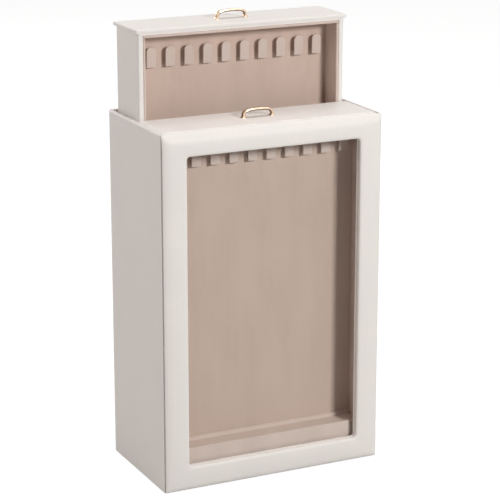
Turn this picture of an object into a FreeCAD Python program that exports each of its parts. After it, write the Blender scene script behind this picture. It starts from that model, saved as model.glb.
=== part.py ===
import FreeCAD, Part
import math
import os
from FreeCAD import Vector

# Upright necklace box: a casing with a window in its front and two drawers that pull straight up.
# Millimetres. X runs to the right, the front looks along -Y, +Z is up.
# The origin is the middle of the underside.

# Casing sizes
width = 212.0
height = 324.0
side_t = 3.0
back_t = 4.6
base_t = 4.0
base_pad_t = 1.2
base_pad_inset = 5.0
floor_pad_t = 1.5
side_liner_t = 2.2
back_liner_t = 1.4
divider_t = 1.6
panel_edge_r = 0.7

# Front frame sizes
board_t = 4.3
cover_t = 4.7
cover_side_r = 4.4
cover_bottom_r = 5.0
cover_top_r = 8.6
cover_lap_t = 3.2
window_width = 167.0
window_sill_z = 22.5
window_head = 21.0
window_corner_r = 2.6
window_edge_r = 1.5
pane_t = 1.5
pane_lap = 4.0
pane_gap = 0.3

# Drawer sizes
drawer_names = ("front_drawer", "rear_drawer")
lid_t = 3.0
lid_depth = 53.0
lid_gap = 0.8
lid_edge_r = 0.8
lid_overhang_side = 2.5
lid_overhang_end = 1.6
top_board_t = 2.4
bottom_board_t = 4.0
wall_t = 4.2
wall_edge_r = 0.5
lining_t = 2.5
core_t = 3.0
panel_t = 1.8
under_drawer_gap = 1.3
rear_drawer_raise = 79.0

# Tray sizes
tray_floor_h = 22.5
tray_step_h = 3.5
tray_step_t = 1.8
lip_t = 2.5
lip_above_floor = 1.5
lip_edge_r = 0.9

# Hook sizes
hook_pitch = 18.0
hook_side_gap = 3.0
hook_w = 9.0
hook_h = 18.2
hook_t = 2.0
hook_edge_r = 0.7
hook_lean_deg = 4.5
hook_slot = 4.5
hook_arm_h = 3.0
hook_arm_w = 5.6
hook_drop = 10.9

# Handle sizes
handle_span = 32.6
handle_rise = 8.3
handle_bar_t = 2.5
handle_depth = 4.6
handle_foot_w = 5.0
handle_leg_t = 2.8
handle_crown_r = 75.0
handle_corner_r = 3.2
handle_flare = 1.2
handle_flare_h = 1.4
handle_edge_r = 0.7

# Screw sizes
screw_d = 2.4
screw_head_d = 4.6
screw_head_t = 1.3
screw_bite = 3.2
screw_thread_gap = 0.1
screw_hole_gap = 0.3

# How far a cutting shape runs past the face that it cuts
over = 1.0

# Sizes that follow from the ones above
n_drawers = len(drawer_names)
drawer_pitch = lid_depth + lid_gap
depth = cover_t + board_t + lid_gap + n_drawers * drawer_pitch + back_t
y_front = -depth / 2
y_seam = y_front + cover_t
y_board = y_seam + board_t
y_back_in = depth / 2 - back_t
x_out = width / 2
x_in = x_out - side_t
base_z = base_pad_t
floor_z = base_z + base_t
well_z = floor_z + floor_pad_t
drawer_z = well_z + under_drawer_gap
ledge_z = height - lid_t
window_top_z = height - window_head
window_x = window_width / 2
lid_x = x_in - lid_gap
body_x = lid_x - lid_overhang_side
lining_x = body_x - wall_t
inner_x = lining_x - lining_t
body_depth = lid_depth - 2 * lid_overhang_end
board_z = ledge_z - top_board_t
ceiling_z = board_z - lining_t
tray_z = drawer_z + bottom_board_t
tray_top_z = tray_z + tray_floor_h
hook_top_z = ceiling_z - hook_drop
hook_foot_z = hook_top_z - hook_h
hooks_per_row = int((2 * (inner_x - hook_side_gap) - hook_w) / hook_pitch) + 1
panel_face_y = lid_depth / 2 - core_t / 2 - panel_t
handle_foot_x = (handle_span - handle_foot_w) / 2


def box(x0, x1, y0, y1, z0, z1):
    return Part.makeBox(x1 - x0, y1 - y0, z1 - z0, Vector(x0, y0, z0))


def prism(points, direction):
    """A straight-sided solid from a closed polygon of (x, y, z) points."""
    wire = Part.makePolygon([Vector(*p) for p in points + points[:1]])
    return Part.Face(wire).extrude(Vector(*direction))


def rod(x, y, z, radius, length):
    return Part.makeCylinder(radius, length, Vector(x, y, z), Vector(0, 0, 1))


def rounded(shape, radius, choose):
    """Rounds the edges that choose picks out."""
    edges = [e for e in shape.Edges if choose(e)]
    return shape.makeFillet(radius, edges) if edges else shape


def lies(edge, axis, value):
    """True if the whole edge lies in the plane axis = value."""
    box_ = edge.BoundBox
    low = (box_.XMin, box_.YMin, box_.ZMin)[axis]
    high = (box_.XMax, box_.YMax, box_.ZMax)[axis]
    return abs(low - value) < 1e-4 and abs(high - value) < 1e-4


def runs(edge, axis):
    """True if the edge is straight along the axis."""
    box_ = edge.BoundBox
    lengths = (box_.XLength, box_.YLength, box_.ZLength)
    return all(lengths[i] < 1e-4 for i in range(3) if i != axis) and lengths[axis] > 1e-3


def export(node, shape):
    shape.exportStep("parts/" + node + ".step")


def window_prism(x, z0, z1, y0, y1, radius):
    """A prism along Y with rounded corners, for the window and the rebate behind it."""
    blank = box(-x, x, y0, y1, z0, z1)
    return rounded(blank, radius, lambda e: runs(e, 1))


# Casing: side panels, back and base


def side_panel(sign):
    edge = sign * x_out
    x0, x1 = sorted((edge, sign * x_in))
    panel = box(x0, x1, y_seam, depth / 2, 0, height)

    return rounded(panel, panel_edge_r, lambda e: lies(e, 0, edge))


def back_panel():
    panel = box(-x_in, x_in, y_back_in, depth / 2, 0, height)
    return rounded(panel, panel_edge_r, lambda e: lies(e, 1, depth / 2) and runs(e, 0))


def base_panel():
    return box(-x_in, x_in, y_board, y_back_in, base_z, floor_z)


def base_pad():
    inset = base_pad_inset
    return box(-x_in + inset, x_in - inset, y_board + inset, y_back_in - inset, 0, base_z)


# Front frame: board, padded cover and pane


def front_board():
    board = box(-x_in, x_in, y_seam, y_board, 0, height - cover_lap_t)
    window = window_prism(
        window_x, window_sill_z, window_top_z, y_seam - over, y_board + over, window_corner_r
    )
    lap = pane_lap + pane_gap
    rebate = window_prism(
        window_x + lap,
        window_sill_z - lap,
        window_top_z + lap,
        y_board - pane_t,
        y_board + over,
        window_corner_r,
    )
    return board.cut(window).cut(rebate)


def window_pane():
    return window_prism(
        window_x + pane_lap,
        window_sill_z - pane_lap,
        window_top_z + pane_lap,
        y_board - pane_t,
        y_board,
        window_corner_r,
    )


def cover_plan():
    """The cover seen from above: flat at the seam, round towards the front, carried up as a prism."""
    r = cover_side_r
    k = r * math.sqrt(0.5)
    y_round = y_front + r
    line = Part.LineSegment
    edges = [
        line(Vector(x_out, y_seam, 0), Vector(-x_out, y_seam, 0)),
        line(Vector(-x_out, y_seam, 0), Vector(-x_out, y_round, 0)),
        Part.Arc(
            Vector(-x_out, y_round, 0),
            Vector(-x_out + r - k, y_round - k, 0),
            Vector(-x_out + r, y_front, 0),
        ),
        line(Vector(-x_out + r, y_front, 0), Vector(x_out - r, y_front, 0)),
        Part.Arc(
            Vector(x_out - r, y_front, 0),
            Vector(x_out - r + k, y_round - k, 0),
            Vector(x_out, y_round, 0),
        ),
        line(Vector(x_out, y_round, 0), Vector(x_out, y_seam, 0)),
    ]
    wire = Part.Wire([e.toShape() for e in edges])
    plate = Part.Face(wire).extrude(Vector(0, 0, height))
    lap = box(-x_in, x_in, y_seam, y_board, height - cover_lap_t, height)
    return plate.fuse(lap).removeSplitter()


def cover_section():
    """The cover seen from the side: round at the foot and rolled back over the board at the top."""
    foot, top = cover_bottom_r, cover_top_r
    foot_y = min(foot, cover_t)
    a = math.radians(45)
    line = Part.LineSegment
    foot_z = foot
    foot_mid = Vector(0, y_front + foot_y - foot_y * math.cos(a), foot_z - foot_z * math.sin(a))
    top_mid = Vector(0, y_front + top - top * math.cos(a), height - top + top * math.sin(a))
    points = [
        Vector(0, y_front + foot_y, 0),
        Vector(0, y_front, foot_z),
        Vector(0, y_front, height - top),
        Vector(0, y_front + top, height),
        Vector(0, y_board, height),
        Vector(0, y_board, 0),
    ]
    edges = [
        Part.Arc(points[0], foot_mid, points[1]),
        line(points[1], points[2]),
        Part.Arc(points[2], top_mid, points[3]),
        line(points[3], points[4]),
        line(points[4], points[5]),
        line(points[5], points[0]),
    ]
    wire = Part.Wire([e.toShape() for e in edges])
    return Part.Face(wire).extrude(Vector(width, 0, 0)).translated(Vector(-x_out, 0, 0))


def front_cover():
    pad = cover_plan().common(cover_section())
    window = window_prism(
        window_x, window_sill_z, window_top_z, y_front - over, y_seam + over, window_corner_r
    )
    frame = pad.cut(window)

    def rim(e):
        inside = abs(e.BoundBox.XMax) < window_x + over and abs(e.BoundBox.XMin) < window_x + over
        level = window_sill_z - over < e.BoundBox.ZMin and e.BoundBox.ZMax < window_top_z + over
        return lies(e, 1, y_front) and inside and level

    return rounded(frame, window_edge_r, rim)


# Wells that the drawers slide in


def side_liner(sign):
    x0, x1 = sorted((sign * x_in, sign * (x_in - side_liner_t)))
    return box(x0, x1, y_board, y_back_in, floor_z, ledge_z)


def back_liner():
    x = x_in - side_liner_t
    return box(-x, x, y_back_in - back_liner_t, y_back_in, floor_z, ledge_z)


def well_divider():
    x = x_in - side_liner_t
    middle = y_board + lid_gap / 2 + drawer_pitch
    return box(-x, x, middle - divider_t / 2, middle + divider_t / 2, floor_z, ledge_z)


def well_floor_pads():
    x = x_in - side_liner_t
    middle = y_board + lid_gap / 2 + drawer_pitch
    front = box(-x, x, y_board, middle - divider_t / 2, floor_z, well_z)
    rear = box(-x, x, middle + divider_t / 2, y_back_in - back_liner_t, floor_z, well_z)
    return Part.makeCompound([front, rear])


# One drawer, built with its lid's front edge at y = 0 and seated


def bow_side(crown_r, corner_r, x):
    """One side of a bow whose crown runs smoothly into a round corner and a leg at x.

    Returns the crown's end, the corner's middle and the top of the leg.
    """
    sine = (x - corner_r) / (crown_r - corner_r)
    cosine = math.sqrt(1 - sine * sine)
    centre_z = handle_rise - handle_crown_r
    cx = (crown_r - corner_r) * sine
    cz = centre_z + (crown_r - corner_r) * cosine
    half_turn = (math.pi / 2 - math.asin(sine)) / 2
    crown_end = Vector(cx + corner_r * sine, 0, cz + corner_r * cosine)
    middle = Vector(cx + corner_r * math.cos(half_turn), 0, cz + corner_r * math.sin(half_turn))
    leg_top = Vector(cx + corner_r, 0, cz)
    return crown_end, middle, leg_top


def handle_profile():
    """The bow seen from the front, as a closed wire standing on z = 0."""
    half = handle_span / 2
    out_x = half - handle_flare
    in_x = out_x - handle_leg_t
    arch = Part.Arc
    line = Part.LineSegment

    def mirrored(v):
        return Vector(-v.x, 0, v.z)

    in_crown_r = handle_crown_r - handle_bar_t
    in_corner_r = handle_corner_r - handle_bar_t / 2
    out_end, out_mid, out_leg = bow_side(handle_crown_r, handle_corner_r, out_x)
    in_end, in_mid, in_leg = bow_side(in_crown_r, in_corner_r, in_x)
    out_knee = Vector(out_x, 0, handle_flare_h)
    in_knee = Vector(in_x, 0, handle_flare_h)
    out_foot = Vector(half, 0, 0)
    in_foot = Vector(half - handle_foot_w, 0, 0)
    edges = [
        line(out_foot, out_knee),
        line(out_knee, out_leg),
        arch(out_leg, out_mid, out_end),
        arch(out_end, Vector(0, 0, handle_rise), mirrored(out_end)),
        arch(mirrored(out_end), mirrored(out_mid), mirrored(out_leg)),
        line(mirrored(out_leg), mirrored(out_knee)),
        line(mirrored(out_knee), mirrored(out_foot)),
        line(mirrored(out_foot), mirrored(in_foot)),
        line(mirrored(in_foot), mirrored(in_knee)),
        line(mirrored(in_knee), mirrored(in_leg)),
        arch(mirrored(in_leg), mirrored(in_mid), mirrored(in_end)),
        arch(mirrored(in_end), Vector(0, 0, handle_rise - handle_bar_t), in_end),
        arch(in_end, in_mid, in_leg),
        line(in_leg, in_knee),
        line(in_knee, in_foot),
        line(in_foot, out_foot),
    ]
    return Part.Wire([e.toShape() for e in edges])


def handle():
    bow = Part.Face(handle_profile()).extrude(Vector(0, handle_depth, 0))
    bow = rounded(bow, handle_edge_r, lambda e: e.BoundBox.ZMax > 0.01 and not runs(e, 1))
    bow = bow.translated(Vector(0, lid_depth / 2 - handle_depth / 2, height))
    for x in (-handle_foot_x, handle_foot_x):
        deep = screw_bite + screw_thread_gap
        hole = rod(x, lid_depth / 2, height - over, screw_d / 2 + screw_thread_gap, deep + over)
        bow = bow.cut(hole)
    return bow


def handle_screws():
    screws = []
    for x in (-handle_foot_x, handle_foot_x):
        head = rod(x, lid_depth / 2, board_z, screw_head_d / 2, screw_head_t)
        shank_z = board_z + screw_head_t
        shank = rod(x, lid_depth / 2, shank_z, screw_d / 2, height + screw_bite - shank_z)
        screws.append(head.fuse(shank).removeSplitter())
    return Part.makeCompound(screws)


def screw_way(shape, z0, z1):
    """Clearance holes for the two handle screws."""
    for x in (-handle_foot_x, handle_foot_x):
        shape = shape.cut(rod(x, lid_depth / 2, z0, screw_d / 2 + screw_hole_gap, z1 - z0))
    return shape


def lid():
    plate = box(-lid_x, lid_x, 0, lid_depth, ledge_z, height)
    plate = rounded(plate, lid_edge_r, lambda e: lies(e, 2, height) or runs(e, 2))
    return screw_way(plate, ledge_z - over, height + over)


def drawer_body(x0, x1, z0, z1):
    return box(x0, x1, lid_overhang_end, lid_overhang_end + body_depth, z0, z1)


def top_board():
    board = drawer_body(-body_x, body_x, board_z, ledge_z)
    board = rounded(board, wall_edge_r, lambda e: runs(e, 0) or runs(e, 2))
    board = screw_way(board, board_z - over, ledge_z + over)
    for x in (-handle_foot_x, handle_foot_x):
        radius = screw_head_d / 2 + screw_hole_gap
        board = board.cut(rod(x, lid_depth / 2, board_z - over, radius, screw_head_t + over))
    return board


def drawer_wall(sign):
    x0, x1 = sorted((sign * body_x, sign * lining_x))
    wall = drawer_body(x0, x1, tray_z, board_z)
    return rounded(wall, wall_edge_r, lambda e: runs(e, 2))


def bottom_board():
    board = drawer_body(-body_x, body_x, drawer_z, tray_z)
    return rounded(board, wall_edge_r, lambda e: runs(e, 0) or runs(e, 2))


def side_lining(sign):
    x0, x1 = sorted((sign * lining_x, sign * inner_x))
    return drawer_body(x0, x1, tray_z, ceiling_z)


def top_lining():
    return drawer_body(-lining_x, lining_x, ceiling_z, board_z)


def centre_board():
    middle = lid_depth / 2
    return box(-inner_x, inner_x, middle - core_t / 2, middle + core_t / 2, tray_z, ceiling_z)


# The fittings of one compartment, built for the front one and mirrored for the rear one


def to_rear(shape):
    return shape.mirror(Vector(0, lid_depth / 2, 0), Vector(0, 1, 0))


def hook_panel():
    return box(-inner_x, inner_x, panel_face_y, panel_face_y + panel_t, tray_z, ceiling_z)


def tray_block():
    y0 = lid_overhang_end + lip_t
    floor = [
        (-inner_x, y0, tray_z),
        (-inner_x, y0, tray_top_z),
        (-inner_x, panel_face_y - tray_step_t, tray_top_z),
        (-inner_x, panel_face_y - tray_step_t, tray_top_z + tray_step_h),
        (-inner_x, panel_face_y, tray_top_z + tray_step_h),
        (-inner_x, panel_face_y, tray_z),
    ]
    return prism(floor, (2 * inner_x, 0, 0))


def tray_lip():
    top = tray_top_z + lip_above_floor
    y0 = lid_overhang_end
    lip = box(-inner_x, inner_x, y0, y0 + lip_t, tray_z, top)
    return rounded(lip, lip_edge_r, lambda e: runs(e, 0) and lies(e, 2, top))


def hook():
    """One hook at x = 0: a round-topped tab that leans forward, on an arm from the panel."""
    half = hook_w / 2
    line = Part.LineSegment
    points = [
        Vector(-half, 0, 0),
        Vector(-half, 0, hook_h - half),
        Vector(0, 0, hook_h),
        Vector(half, 0, hook_h - half),
        Vector(half, 0, 0),
    ]
    edges = [
        line(points[0], points[1]),
        Part.Arc(points[1], points[2], points[3]),
        line(points[3], points[4]),
        line(points[4], points[0]),
    ]
    face = Part.Face(Part.Wire([e.toShape() for e in edges]))
    tab = face.extrude(Vector(0, -hook_t, 0))
    tab = rounded(tab, hook_edge_r, lambda e: not runs(e, 1))
    tab.rotate(Vector(0, 0, 0), Vector(1, 0, 0), hook_lean_deg)
    tab = tab.translated(Vector(0, panel_face_y - hook_slot, hook_foot_z))
    arm = box(
        -hook_arm_w / 2,
        hook_arm_w / 2,
        panel_face_y - hook_slot - hook_t / 2,
        panel_face_y,
        hook_foot_z + hook_edge_r,
        hook_foot_z + hook_edge_r + hook_arm_h,
    )
    return tab.fuse(arm).removeSplitter()


def hook_row():
    one = hook()
    first = -(hooks_per_row - 1) * hook_pitch / 2
    return Part.makeCompound(
        [one.translated(Vector(first + i * hook_pitch, 0, 0)) for i in range(hooks_per_row)]
    )


def drawer_pieces():
    return {
        "lid": lid(),
        "top_board": top_board(),
        "bottom_board": bottom_board(),
        "left_wall": drawer_wall(-1),
        "right_wall": drawer_wall(1),
        "left_lining": side_lining(-1),
        "right_lining": side_lining(1),
        "top_lining": top_lining(),
        "centre_board": centre_board(),
        "front_panel": hook_panel(),
        "front_tray_block": tray_block(),
        "front_lip": tray_lip(),
        "front_hooks": hook_row(),
        "rear_panel": to_rear(hook_panel()),
        "rear_tray_block": to_rear(tray_block()),
        "rear_lip": to_rear(tray_lip()),
        "rear_hooks": to_rear(hook_row()),
        "handle": handle(),
        "handle_screws": handle_screws(),
    }


def main():
    os.makedirs("parts", exist_ok=True)
    casing = {
        "left_side_panel": side_panel(-1),
        "right_side_panel": side_panel(1),
        "back_panel": back_panel(),
        "base_panel": base_panel(),
        "base_pad": base_pad(),
        "front_board": front_board(),
        "front_cover": front_cover(),
        "window_pane": window_pane(),
        "left_well_liner": side_liner(-1),
        "right_well_liner": side_liner(1),
        "back_well_liner": back_liner(),
        "well_divider": well_divider(),
        "well_floor_pads": well_floor_pads(),
    }
    for node, shape in casing.items():
        export(node, shape)
    pieces = drawer_pieces()
    raises = (0.0, rear_drawer_raise)
    for i, drawer in enumerate(drawer_names):
        place = Vector(0, y_board + lid_gap + i * drawer_pitch, raises[i])
        for piece, shape in pieces.items():
            export(drawer + "_" + piece, shape.translated(place))


main()
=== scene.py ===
import math

import bmesh
import bpy
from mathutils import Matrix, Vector


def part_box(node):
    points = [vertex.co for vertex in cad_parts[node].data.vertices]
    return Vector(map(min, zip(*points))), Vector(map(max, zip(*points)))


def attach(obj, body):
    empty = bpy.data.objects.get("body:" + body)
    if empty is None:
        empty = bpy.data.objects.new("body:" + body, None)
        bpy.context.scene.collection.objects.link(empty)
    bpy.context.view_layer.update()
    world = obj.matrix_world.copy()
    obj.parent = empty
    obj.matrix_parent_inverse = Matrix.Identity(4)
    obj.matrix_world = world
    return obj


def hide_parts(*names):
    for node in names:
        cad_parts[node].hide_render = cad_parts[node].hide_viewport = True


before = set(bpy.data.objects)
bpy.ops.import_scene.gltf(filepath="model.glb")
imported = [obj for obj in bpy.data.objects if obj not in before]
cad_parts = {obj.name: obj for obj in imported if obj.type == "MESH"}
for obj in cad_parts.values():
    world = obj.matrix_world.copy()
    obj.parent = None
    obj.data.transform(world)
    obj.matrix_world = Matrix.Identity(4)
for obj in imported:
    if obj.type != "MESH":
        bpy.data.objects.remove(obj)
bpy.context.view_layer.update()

# Upright necklace box: wrapped boards, a padded window frame, two velvet drawers and their handles.
# Metres. X runs to the right, the window looks along -Y, +Z is up.

bl_info = {
    "name": "Necklace box",
    "version": (1, 0, 0),
    "blender": (4, 5, 0),
    "location": "3D View > Sidebar > Necklace box",
    "description": "Wrapped boards, padded window frame, velvet trays, hooks and bow handles",
    "category": "Mesh",
}

DRAWERS = ("front_drawer", "rear_drawer")
SIDES = ("front", "rear")
FINISH_PREFIX = "detailed_"
LARGEST_ROUNDING = 0.45  # share of a thin sheet that a rounding may take
SAME_POINT = 1e-6  # metres between points that count as one
SWELL_FRAMES = 20  # cloth frames that blow the foam up
EVENING_ROUNDS = 24  # times that neighbouring points share their moves


# Sizes and colours that a user would change


def length(name, description, default):
    return bpy.props.FloatProperty(
        name=name, description=description, default=default, min=0, precision=5, unit="LENGTH"
    )


def colour(name, description, default):
    return bpy.props.FloatVectorProperty(
        name=name, description=description, default=default, size=3, min=0, max=1, subtype="COLOR"
    )


def share(name, description, default):
    return bpy.props.FloatProperty(
        name=name, description=description, default=default, min=0, max=1, subtype="FACTOR"
    )


class NecklaceBoxSizes(bpy.types.PropertyGroup):
    wrapped_edge: length("Wrapped edge", "Rounding of a board's outer edges under the skin", 0.0009)
    panel_edge: length("Panel edge", "Rounding of a side panel's top and back edges", 0.0024)
    folded_edge: length("Folded edge", "Rounding of the edges where two boards meet", 0.00035)
    seam: length("Seam", "Open line between a side panel and the padded frame", 0.0005)
    lid_rest: length("Lid rest", "Space left between a lowered lid and the liners", 0.00015)
    velvet_edge: length("Velvet edge", "Rounding of a velvet-covered edge", 0.0006)
    lining_edge: length("Lining edge", "Rounding of the padded edges of a drawer's lining", 0.0011)
    lip_edge: length("Lip edge", "Rounding along the top of a tray lip", 0.0009)
    lip_end: length("Lip end", "Rounding of a tray lip's other edges", 0.0003)
    felt_edge: length("Felt edge", "Rounding along the foot of the felt pad", 0.0005)
    felt_corner: length("Felt corner", "Rounding of the felt pad's four corners", 0.003)
    pad_mesh: length("Pad mesh", "Face size of the padded frame", 0.0012)
    pad_swell: length("Pad swell", "Most that the foam's skin moves when it is blown up", 0.00018)
    pad_side: length("Pad side", "Width over which the foam rounds to its outer sides", 0.007)
    pad_roll: length("Pad roll", "Height over which the foam rolls back at its top", 0.0094)
    pad_tuck: length("Pad tuck", "How far the skin is drawn in along the side seams", 0.0008)
    pad_fall: length("Pad fall", "How far the foam falls away at its outer edges", 0.0018)
    pad_reach: length("Pad reach", "Distance from an edge over which the foam falls away", 0.008)
    pad_dip: length("Pad dip", "How far the foam falls away at the window", 0.0006)
    side_radius: length("Side radius", "Rounding of the solid frame's side edges", 0.0044)
    roll_radius: length("Roll radius", "Rounding of the solid frame's top edge", 0.0086)
    pane_lap: length("Pane lap", "How far the pane reaches behind the frame", 0.004)
    back_sheet_inset: length("Back sheet inset", "Border left round the sheet on the back", 0.0045)
    back_sheet_step: length("Back sheet step", "Thickness of the sheet on the back", 0.0003)
    tray_step_height: length("Tray step height", "Rise of the step behind a tray", 0.0035)
    tray_step_depth: length("Tray step depth", "Depth of the step behind a tray", 0.0018)
    tab_width: length("Tab width", "Width of one hook tab", 0.009)
    tab_thickness: length("Tab thickness", "Thickness of one hook tab", 0.0017)
    tab_height: length("Tab height", "Height of one hook tab", 0.0182)
    tab_edge: length("Tab edge", "Rounding round the faces of a hook tab", 0.0007)
    tab_foot_edge: length("Tab foot edge", "Rounding of a hook tab's foot corners", 0.00042)
    tab_lean: bpy.props.FloatProperty(
        name="Tab lean",
        description="How far a hook tab leans forward",
        default=math.radians(2.0),
        subtype="ANGLE",
        unit="ROTATION",
    )
    arm_width: length("Arm width", "Width of the arm behind a tab", 0.0056)
    arm_height: length("Arm height", "Height of the arm behind a tab", 0.003)
    hook_slot: length("Hook slot", "Space between a tab and its panel", 0.0037)
    handle_bar: length("Handle bar", "Thickness of the bow", 0.0025)
    handle_foot: length("Handle foot", "Width of the foot of a bow", 0.005)
    handle_flare: length("Handle flare", "How much wider the bow is at its feet", 0.0012)
    handle_flare_height: length("Handle flare height", "Height of the flared foot", 0.0014)
    handle_corner: length("Handle corner", "Outer radius where the bow turns down", 0.0060)
    handle_crown: length("Handle crown", "Radius of the bow's long top", 0.075)
    handle_edge: length("Handle edge", "Rounding of the bow's edges", 0.0011)


class NecklaceBoxFinishes(bpy.types.PropertyGroup):
    leatherette: colour("Leatherette", "Skin of the casing and the drawers", (0.875, 0.834, 0.803))
    velvet: colour("Velvet", "Pile of the hook panels and the wells", (0.645, 0.51, 0.439))
    # Painted light: a lighter, less saturated copy of the velvet, for the linings, trays and lips,
    # which show brighter than the panels.
    painted_lit_velvet: colour("Pale velvet", "Pile of linings, trays and lips", (0.74, 0.615, 0.555))
    # Painted light: a lighter copy of the velvet for the hooks, which show brighter than the panels.
    painted_lit_hook_velvet: colour("Hook velvet", "Pile of the hooks", (0.675, 0.565, 0.508))
    gold: colour("Gold", "Plating of the bow handles", (0.8, 0.63, 0.47))
    # Painted shade: this colour stands in for dark reflections and shade on the bow's sides, under
    # it and on its top.
    gold_painted_shade: colour("Gold shade", "Plating on the bow's sides and under it", (0.16, 0.085, 0.045))
    felt: colour("Felt", "Pad under the base", (0.56, 0.52, 0.47))
    fibreboard: colour("Fibreboard", "Bare board", (0.42, 0.28, 0.15))
    steel: colour("Steel", "Screws under the handles", (0.55, 0.55, 0.56))
    leatherette_roughness: share("Leatherette roughness", "Mean roughness of the skin", 0.52)
    gold_roughness: share("Gold roughness", "Mean roughness of the plating", 0.16)


def sizes():
    return bpy.context.scene.necklace_box_sizes


def finishes():
    return bpy.context.scene.necklace_box_finishes


# Modelling steps


def finished(result, step):
    if "FINISHED" not in result:
        raise RuntimeError(step + " did not finish")


def only(piece):
    """Returns to object mode with one piece, or none, selected and active."""
    if bpy.context.object is not None and bpy.context.object.mode != "OBJECT":
        bpy.ops.object.mode_set(mode="OBJECT")
    bpy.ops.object.select_all(action="DESELECT")
    if piece is not None:
        piece.select_set(True)
        bpy.context.view_layer.objects.active = piece


def named(piece, name):
    piece.name = name
    piece.data.name = name
    return piece


def settle(piece):
    """Moves a piece's place, turn and size into its mesh."""
    only(piece)
    finished(
        bpy.ops.object.transform_apply(location=True, rotation=True, scale=True), "settling"
    )
    return piece


def add_block(name, low, high):
    """Adds a block between two corners."""
    only(None)
    middle = (low + high) / 2
    finished(
        bpy.ops.mesh.primitive_cube_add(size=1, location=middle, scale=high - low), "adding " + name
    )
    return settle(named(bpy.context.object, name))


def pick(piece, kind, test):
    """Opens a piece for editing with only the edges or faces that test accepts selected."""
    only(piece)
    bpy.ops.object.mode_set(mode="EDIT")
    bpy.ops.mesh.select_mode(type=kind)
    bpy.ops.mesh.select_all(action="DESELECT")
    mesh = bmesh.from_edit_mesh(piece.data)
    mesh.normal_update()
    chosen = [item for item in (mesh.edges if kind == "EDGE" else mesh.faces) if test(item)]
    for item in chosen:
        item.select_set(True)
    mesh.select_flush_mode()
    bmesh.update_edit_mesh(piece.data)
    if not chosen:
        raise RuntimeError(f"nothing to pick on {piece.name}")


def close_edit():
    bpy.ops.object.mode_set(mode="OBJECT")


def at_plane(edge, axis, value):
    return all(abs(v.co[axis] - value) < 1e-5 for v in edge.verts)


def along(edge, axis):
    """True if an edge runs straight along an axis."""
    run = edge.verts[1].co - edge.verts[0].co
    return abs(run[axis]) > 0.999 * run.length


def sharp(edge, degrees=60):
    return len(edge.link_faces) == 2 and edge.calc_face_angle(0) > math.radians(degrees)


def round_picked(radius, steps):
    finished(
        bpy.ops.mesh.bevel(
            offset=radius, segments=steps, profile=0.5, affect="EDGES", clamp_overlap=True
        ),
        "rounding",
    )
    close_edit()


def round_edges(piece, radius, test, steps=4):
    pick(piece, "EDGE", test)
    round_picked(radius, steps)


def round_rest(piece, radius, steps=2):
    """Rounds every edge that is still sharp."""
    round_edges(piece, radius, sharp, steps)


def smooth(piece, degrees=40):
    """Smooth shading that keeps large faces flat."""
    only(piece)
    finished(bpy.ops.object.shade_smooth_by_angle(angle=math.radians(degrees)), "shading")
    modifier = piece.modifiers.new("flat faces", "WEIGHTED_NORMAL")
    modifier.keep_sharp = True
    finished(bpy.ops.object.modifier_apply(modifier=modifier.name), "shading")


def copy_piece(piece, name, offset):
    """A copy with its own mesh, moved by offset."""
    only(piece)
    finished(bpy.ops.object.duplicate(linked=False), "copying " + piece.name)
    twin = named(bpy.context.object, name)
    twin.location = offset
    return settle(twin)


def join(pieces, name):
    only(pieces[0])
    for piece in pieces[1:]:
        piece.select_set(True)
    finished(bpy.ops.object.join(), "joining " + name)
    return named(bpy.context.object, name)


def dress(piece, finish, slot, body, *nodes):
    """Gives a finished piece its material and its body, and hides the CAD nodes it stands for; slot
    is not used.
    """
    piece.data.materials.clear()
    piece.data.materials.append(finish)
    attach(piece, body)
    if nodes:
        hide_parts(*nodes)


def dress_node(node, finish):
    """Gives a CAD node that stays in view its material."""
    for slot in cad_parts[node].material_slots:
        slot.link = "DATA"
        slot.material = finish


# Finishes


def new_finish(name):
    finish = bpy.data.materials.new(name)
    finish.use_nodes = True
    tree = finish.node_tree
    tree.nodes.clear()
    return finish, tree


def add(tree, kind, settings=None, values=None):
    """Adds a node. A value is a number, a colour or the output that feeds the input."""
    node = tree.nodes.new(kind)
    for name, value in (settings or {}).items():
        setattr(node, name, value)
    for name, value in (values or {}).items():
        if isinstance(value, bpy.types.NodeSocket):
            tree.links.new(value, node.inputs[name])
        else:
            node.inputs[name].default_value = value
    return node


def place_of(tree, stretch=(1, 1, 1)):
    """The place on the piece, stretched where a pattern is longer one way."""
    coordinates = add(tree, "ShaderNodeTexCoord")
    mapping = add(
        tree, "ShaderNodeMapping", None, {"Vector": coordinates.outputs["Object"], "Scale": stretch}
    )
    return mapping.outputs["Vector"]


def noise(tree, place, scale, detail=2.0, roughness=0.5):
    node = add(
        tree,
        "ShaderNodeTexNoise",
        None,
        {"Vector": place, "Scale": scale, "Detail": detail, "Roughness": roughness},
    )
    return node.outputs["Fac"]


def ranged(tree, value, low, high, to_low, to_high):
    node = add(
        tree,
        "ShaderNodeMapRange",
        None,
        {"Value": value, "From Min": low, "From Max": high, "To Min": to_low, "To Max": to_high},
    )
    return node.outputs["Result"]


def blend_colours(tree, factor, first, second):
    """Mixes two colours. The mix node has its factor at 0 and its colours at 6, 7 and output 2."""
    node = add(
        tree, "ShaderNodeMix", {"data_type": "RGBA"}, {0: factor, 6: first, 7: second}
    )
    return node.outputs[2]


def calculate(tree, kind, first, second):
    """Adds a sum on two numbers or outputs."""
    node = add(tree, "ShaderNodeMath", {"operation": kind}, {0: first, 1: second})
    return node.outputs[0]


def shade(base, factor, tint=(1, 1, 1)):
    """A colour made lighter or darker, with an optional tint."""
    return tuple(min(1, c * factor * t) for c, t in zip(base, tint)) + (1,)


def raised(tree, height, strength, distance, below=None):
    values = {"Height": height, "Strength": strength, "Distance": distance}
    if below is not None:
        values["Normal"] = below
    return add(tree, "ShaderNodeBump", None, values).outputs["Normal"]


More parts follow.
